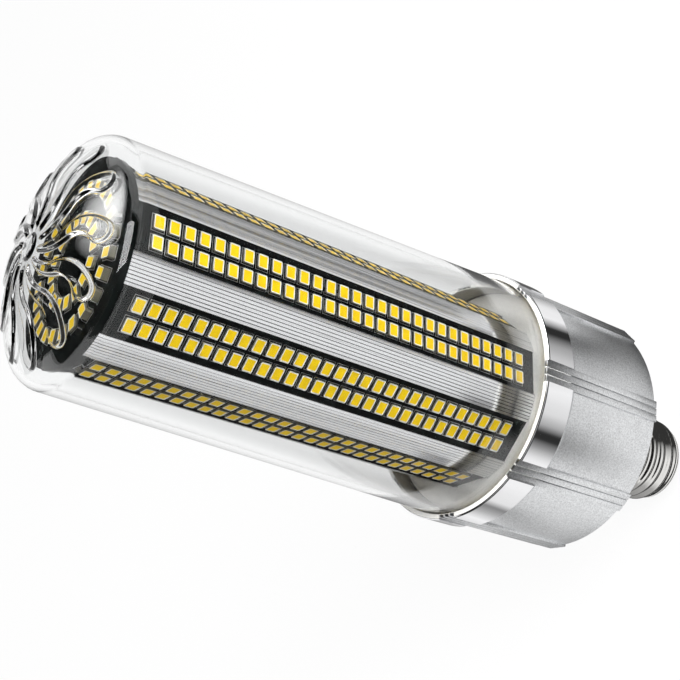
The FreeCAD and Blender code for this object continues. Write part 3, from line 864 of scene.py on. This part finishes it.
class LAMP_OT_driver(bpy.types.Operator):
    """Finish the driver inside the housing"""
    bl_idname = "lamp.driver"
    bl_label = "Driver"

    def execute(self, context):
        colours = context.scene.lamp_colours
        finish_nodes(["driver_board"], solder_mask("green_mask", colours.driver))
        finish_nodes(["driver_transformer", "driver_capacitor", "driver_choke", "driver_rectifier"],
                     moulded_plastic("component_body", colours.component, low=0.4, high=0.6))
        return {"FINISHED"}


def seen_directly(tree):
    """1 for rays that show a background: from the camera, off metal or through the cover."""
    path = tree.nodes.new("ShaderNodeLightPath")
    total = path.outputs["Is Camera Ray"]
    for kind in ("Is Glossy Ray", "Is Transmission Ray"):
        add = tree.nodes.new("ShaderNodeMath")
        add.operation = "MAXIMUM"
        tree.links.new(total, add.inputs[0])
        tree.links.new(path.outputs[kind], add.inputs[1])
        total = add.outputs[0]
    return total


def floor_paint():
    """White floor that shows only a trace of the lamp's shadow."""
    material = bpy.data.materials.new("floor_paint")
    material.use_nodes = True
    tree = material.node_tree
    principled = tree.nodes["Principled BSDF"]
    principled.inputs["Base Color"].default_value = (0.9, 0.9, 0.9, 1.0)
    principled.inputs["Roughness"].default_value = 0.9
    glow = tree.nodes.new("ShaderNodeEmission")
    share = tree.nodes.new("ShaderNodeMath")
    share.operation = "MULTIPLY"
    share.inputs[1].default_value = 0.9
    mix = tree.nodes.new("ShaderNodeMixShader")
    tree.links.new(seen_directly(tree), share.inputs[0])
    tree.links.new(share.outputs[0], mix.inputs["Fac"])
    tree.links.new(principled.outputs[0], mix.inputs[1])
    tree.links.new(glow.outputs[0], mix.inputs[2])
    tree.links.new(mix.outputs[0], tree.nodes["Material Output"].inputs["Surface"])
    return material


def card_paint(name):
    """A card's material with its glow, which only reflections show."""
    material = bpy.data.materials.new(name)
    material.use_nodes = True
    tree = material.node_tree
    glow = tree.nodes.new("ShaderNodeEmission")
    path = tree.nodes.new("ShaderNodeLightPath")
    clear = tree.nodes.new("ShaderNodeBsdfTransparent")
    mix = tree.nodes.new("ShaderNodeMixShader")
    tree.links.new(path.outputs["Glossy Depth"], mix.inputs["Fac"])
    tree.links.new(clear.outputs[0], mix.inputs[1])
    tree.links.new(glow.outputs[0], mix.inputs[2])
    tree.links.new(mix.outputs[0], tree.nodes["Material Output"].inputs["Surface"])
    return material, tree, glow


def sectors(tree, stops):
    """Soft sectors round the lamp: pairs of an angle in degrees and a brightness."""
    place = tree.nodes.new("ShaderNodeTexCoord")
    turn = tree.nodes.new("ShaderNodeTexGradient")
    turn.gradient_type = "RADIAL"
    ramp = tree.nodes.new("ShaderNodeValToRGB")
    points = ramp.color_ramp.elements
    for degrees, level in stops:
        position = degrees / 360.0 + 0.5
        known = [point for point in points if abs(point.position - position) < WELD]
        point = known[0] if known else points.new(position)
        point.color = (level, level, level, 1.0)
    tree.links.new(place.outputs["Object"], turn.inputs["Vector"])
    tree.links.new(turn.outputs["Fac"], ramp.inputs["Fac"])
    return ramp.outputs["Color"]


def fan_paint(name, stops, cover_stops=None):
    """Dark and bright sectors. The cover's own reflections can show others than what it covers."""
    material, tree, glow = card_paint(name)
    path = tree.nodes.new("ShaderNodeLightPath")
    covered = tree.nodes.new("ShaderNodeMath")
    covered.operation = "GREATER_THAN"
    # A ray off a covered piece has gone in and out through the wall, which has two surfaces
    covered.inputs[1].default_value = 3.0
    mix = tree.nodes.new("ShaderNodeMixRGB")
    tree.links.new(path.outputs["Transmission Depth"], covered.inputs[0])
    tree.links.new(covered.outputs[0], mix.inputs["Fac"])
    tree.links.new(sectors(tree, cover_stops or stops), mix.inputs["Color1"])
    tree.links.new(sectors(tree, stops), mix.inputs["Color2"])
    tree.links.new(mix.outputs["Color"], glow.inputs["Color"])
    return material


def glare_paint(name, centre, radius, level):
    """A soft glow that fades out round its centre."""
    material, tree, glow = card_paint(name)
    place = tree.nodes.new("ShaderNodeTexCoord")
    mapping = tree.nodes.new("ShaderNodeMapping")
    mapping.vector_type = "TEXTURE"
    mapping.inputs["Location"].default_value = centre
    mapping.inputs["Scale"].default_value = (radius, radius, radius)
    fade = tree.nodes.new("ShaderNodeTexGradient")
    fade.gradient_type = "SPHERICAL"
    strength = tree.nodes.new("ShaderNodeMath")
    strength.operation = "MULTIPLY"
    strength.inputs[1].default_value = level
    tree.links.new(place.outputs["Object"], mapping.inputs["Vector"])
    tree.links.new(mapping.outputs["Vector"], fade.inputs["Vector"])
    tree.links.new(fade.outputs["Fac"], strength.inputs[0])
    tree.links.new(strength.outputs[0], glow.inputs["Strength"])
    return material


def add_card(bm, name, material):
    """A studio card that only reflections show, not the plain view through the cover."""
    mesh = bpy.data.meshes.new(name)
    bm.to_mesh(mesh)
    bm.free()
    mesh.materials.append(material)
    card = bpy.data.objects.new(name, mesh)
    bpy.context.scene.collection.objects.link(card)
    card.visible_camera = False
    card.visible_diffuse = False
    card.visible_shadow = False
    return card


def add_standing_card(name, place, aim, width, height, material):
    """A card that faces a point."""
    bm = bmesh.new()
    bmesh.ops.create_grid(bm, x_segments=1, y_segments=1, size=0.5)
    bmesh.ops.scale(bm, vec=(width, height, 1.0), verts=bm.verts)
    facing = (Vector(aim) - Vector(place)).to_track_quat("Z", "Y").to_matrix()
    bmesh.ops.rotate(bm, cent=(0, 0, 0), matrix=facing, verts=bm.verts)
    bmesh.ops.translate(bm, vec=place, verts=bm.verts)
    add_card(bm, name, material)


def add_fan(name, inner, outer, stops, cover_stops=None):
    """A flat ring of card on the floor round the lamp's foot, turned to the camera's side."""
    over_floor = 0.5 * MM
    share = inner / outer
    bm = bmesh.new()
    bmesh.ops.create_circle(bm, cap_ends=False, segments=64, radius=outer)
    hole = bmesh.ops.extrude_edge_only(bm, edges=bm.edges[:])["geom"]
    bmesh.ops.scale(bm, vec=(share, share, 1.0), verts=new_verts(hole))
    bmesh.ops.translate(bm, vec=(0, 0, over_floor), verts=bm.verts)
    card = add_card(bm, name, fan_paint(name, stops, cover_stops))
    card.rotation_euler.z = CAMERA_SIDE


def add_curtain(name, radius, low, high, stops):
    """An upright ring of card round the lamp's foot, turned to the camera's side."""
    bm = bmesh.new()
    verts = [bm.verts.new((radius, 0.0, height)) for height in (low, high)]
    bmesh.ops.spin(bm, geom=verts + [bm.edges.new(verts)], cent=(0, 0, 0), axis=(0, 0, 1),
                   dvec=(0, 0, 0), angle=2 * math.pi, steps=48, use_merge=True)
    card = add_card(bm, name, fan_paint(name, stops))
    card.rotation_euler.z = CAMERA_SIDE


# Cards that the metal mirrors: inner and outer radius in metres, then stops of an angle in degrees
# from the camera's side and the brightness there
FAN_CARDS = {
    "foot_card": (0.014, 0.026, ((-180, 0.03), (180, 0.03))),
    "cap_card": (0.026, 0.037, ((-180, 0.3), (-75, 0.25), (-50, 0.06), (180, 0.04))),
    "plate_card": (0.037, 0.060, ((-180, 0.05), (180, 0.05))),
    "housing_card": (0.060, 0.100, (
        (-180, 0.2), (-120, 0.35), (-88, 0.65), (-45, 1.0), (5, 1.0), (32, 0.95), (55, 0.75),
        (78, 0.3), (102, 0.05), (180, 0.02))),
    "ring_card": (0.100, 0.160, (
        (-180, 0.2), (-148, 0.3), (-129, 0.6), (-104, 1.0), (-91, 0.5), (-82, 0.25), (-75, 0.85),
        (-55, 1.0), (-30, 1.0), (-26, 0.85), (-18, 0.35), (-11, 0.03), (-6, 0.03), (0, 0.45),
        (9, 0.8), (27, 1.0), (42, 0.85), (50, 0.7), (64, 0.4), (74, 0.03), (80, 0.03), (91, 1.0),
        (104, 0.9), (115, 0.5), (129, 0.15), (150, 0.08), (180, 0.12))),
}
COLUMN_STOPS = (
    (-180, 1.0), (-160, 0.9), (-146, 0.6), (-134, 0.3), (-122, 0.05), (-100, 0.05), (-90, 0.8),
    (-72, 0.8), (-60, 1.0), (-50, 0.02), (-10, 0.02), (-6, 0.8), (2, 1.0), (25, 1.0), (31, 0.02),
    (78, 0.02), (83, 1.0), (89, 0.9), (93, 0.15), (98, 0.8), (103, 0.1), (109, 0.7), (118, 0.3),
    (132, 0.5), (146, 0.8), (160, 0.95), (180, 1.0))
COVER_STOPS = (
    (-180, 0.35), (-170, 0.45), (-155, 0.7), (-140, 0.95), (-120, 0.95), (-104, 0.05), (104, 0.05),
    (120, 0.95), (140, 0.95), (155, 0.7), (170, 0.45), (180, 0.35))
CURTAIN_STOPS = (
    (-180, 0.3), (-100, 0.35), (-62, 0.45), (-42, 0.95), (12, 1.0), (32, 0.6), (48, 0.04),
    (180, 0.04))
BLACK_STOPS = ((-180, 0.015), (180, 0.015))


def add_cards():
    """Set up what the lamp's metal and its clear cover mirror."""
    for name, (inner, outer, stops) in FAN_CARDS.items():
        add_fan(name, inner, outer, stops)
    add_fan("column_card", inner=0.160, outer=0.700, stops=COLUMN_STOPS, cover_stops=COVER_STOPS)
    add_curtain("cap_curtain", radius=0.045, low=0.001, high=0.034, stops=CURTAIN_STOPS)
    black = fan_paint("black_card", BLACK_STOPS)
    dome = Vector((0.0, 0.0, 0.21))
    behind = dome + 0.6 * Vector((-0.689, 0.383, 0.616))
    overhead = dome + Vector((0.0, 0.0, 0.7))
    front = dome + 0.9 * Vector((0.80, -0.445, 0.40))
    glare = dome + 0.6 * Vector((-0.073, 0.520, 0.851))
    add_standing_card("behind_card", behind, dome, width=0.7, height=0.47, material=black)
    add_standing_card("overhead_card", overhead, dome, width=1.6, height=1.6, material=black)
    add_standing_card("front_card", front, dome, width=2.4, height=1.1, material=black)
    add_standing_card("glare_card", glare, dome, width=0.5, height=0.5,
                      material=glare_paint("glare_card", glare, radius=0.25, level=10.0))


def add_key_light():
    """A square light over the camera's shoulder that lights the lamp and isn't mirrored by it."""
    middle = Vector((0.0, 0.0, 0.13))
    toward = Vector((0.723, -0.414, 0.552))
    across = Vector((0.309, 0.910, 0.278))
    light = bpy.data.lights.new("key", "AREA")
    light.size = 0.5
    light.energy = 9.0
    lamp = bpy.data.objects.new("key", light)
    lamp.location = middle + 0.7 * toward + 0.35 * across
    lamp.rotation_euler = (middle - lamp.location).to_track_quat("-Z", "Y").to_euler()
    lamp.visible_glossy = False
    bpy.context.scene.collection.objects.link(lamp)


def add_floor():
    """A wide white floor under the lamp."""
    bm = bmesh.new()
    bmesh.ops.create_grid(bm, x_segments=1, y_segments=1, size=3.0)
    mesh = bpy.data.meshes.new("floor")
    bm.to_mesh(mesh)
    bm.free()
    mesh.materials.append(floor_paint())
    floor = bpy.data.objects.new("floor", mesh)
    bpy.context.scene.collection.objects.link(floor)


def studio_world():
    """A world that is white where it shows and lights the lamp a little less."""
    world = bpy.data.worlds.new("studio")
    world.use_nodes = True
    tree = world.node_tree
    background = tree.nodes["Background"]
    background.inputs["Color"].default_value = (1.0, 1.0, 1.0, 1.0)
    level = tree.nodes.new("ShaderNodeMapRange")
    level.inputs["To Min"].default_value = 0.75
    level.inputs["To Max"].default_value = 1.0
    tree.links.new(seen_directly(tree), level.inputs["Value"])
    tree.links.new(level.outputs["Result"], background.inputs["Strength"])
    return world


def add_camera():
    """A camera that sees the lamp from the photograph's side, rolled as it is there."""
    camera = bpy.data.cameras.new("camera")
    camera.lens = 69.06
    camera.sensor_width = 36.0
    camera.clip_start = 0.01
    view = bpy.data.objects.new("camera", camera)
    view.location = (0.25118, -0.13976, 0.32264)
    view.rotation_euler = Euler([math.radians(turn) for turn in (26.705, 51.801, 2.834)], "XYZ")
    bpy.context.scene.collection.objects.link(view)
    bpy.context.scene.camera = view


class LAMP_OT_stage(bpy.types.Operator):
    """Set up the floor, the studio light and the camera"""
    bl_idname = "lamp.stage"
    bl_label = "Stage"

    def execute(self, context):
        context.scene.view_settings.view_transform = "Standard"
        context.scene.world = studio_world()
        add_floor()
        add_cards()
        add_key_light()
        add_camera()
        return {"FINISHED"}


PIECES = (LAMP_OT_clear_cover, LAMP_OT_column, LAMP_OT_boards, LAMP_OT_leds, LAMP_OT_housing,
          LAMP_OT_rear_cover, LAMP_OT_screw_shell, LAMP_OT_insulator, LAMP_OT_contact,
          LAMP_OT_driver, LAMP_OT_stage)


class LAMP_PT_pieces(bpy.types.Panel):
    """Buttons for the lamp's pieces, with their sizes and colours"""
    bl_idname = "LAMP_PT_pieces"
    bl_label = "Corn Lamp"
    bl_space_type = "VIEW_3D"
    bl_region_type = "UI"
    bl_category = "Lamp"

    def draw(self, context):
        for operator in PIECES:
            self.layout.operator(operator.bl_idname)
        for group in (context.scene.lamp_sizes, context.scene.lamp_colours):
            column = self.layout.column()
            for name in group.__annotations__:
                column.prop(group, name)


CLASSES = (LampSizes, LampColours) + PIECES + (LAMP_PT_pieces,)


def register():
    """Register the classes and give the scene its sizes and colours."""
    for item in CLASSES:
        bpy.utils.register_class(item)
    bpy.types.Scene.lamp_sizes = PointerProperty(type=LampSizes)
    bpy.types.Scene.lamp_colours = PointerProperty(type=LampColours)


def unregister():
    """Take back what register did."""
    del bpy.types.Scene.lamp_colours
    del bpy.types.Scene.lamp_sizes
    for item in reversed(CLASSES):
        bpy.utils.unregister_class(item)


def main():
    """Build the lamp piece by piece."""
    register()
    for operator in PIECES:
        group, name = operator.bl_idname.split(".")
        getattr(getattr(bpy.ops, group), name)()


if __name__ == "__main__":
    main()
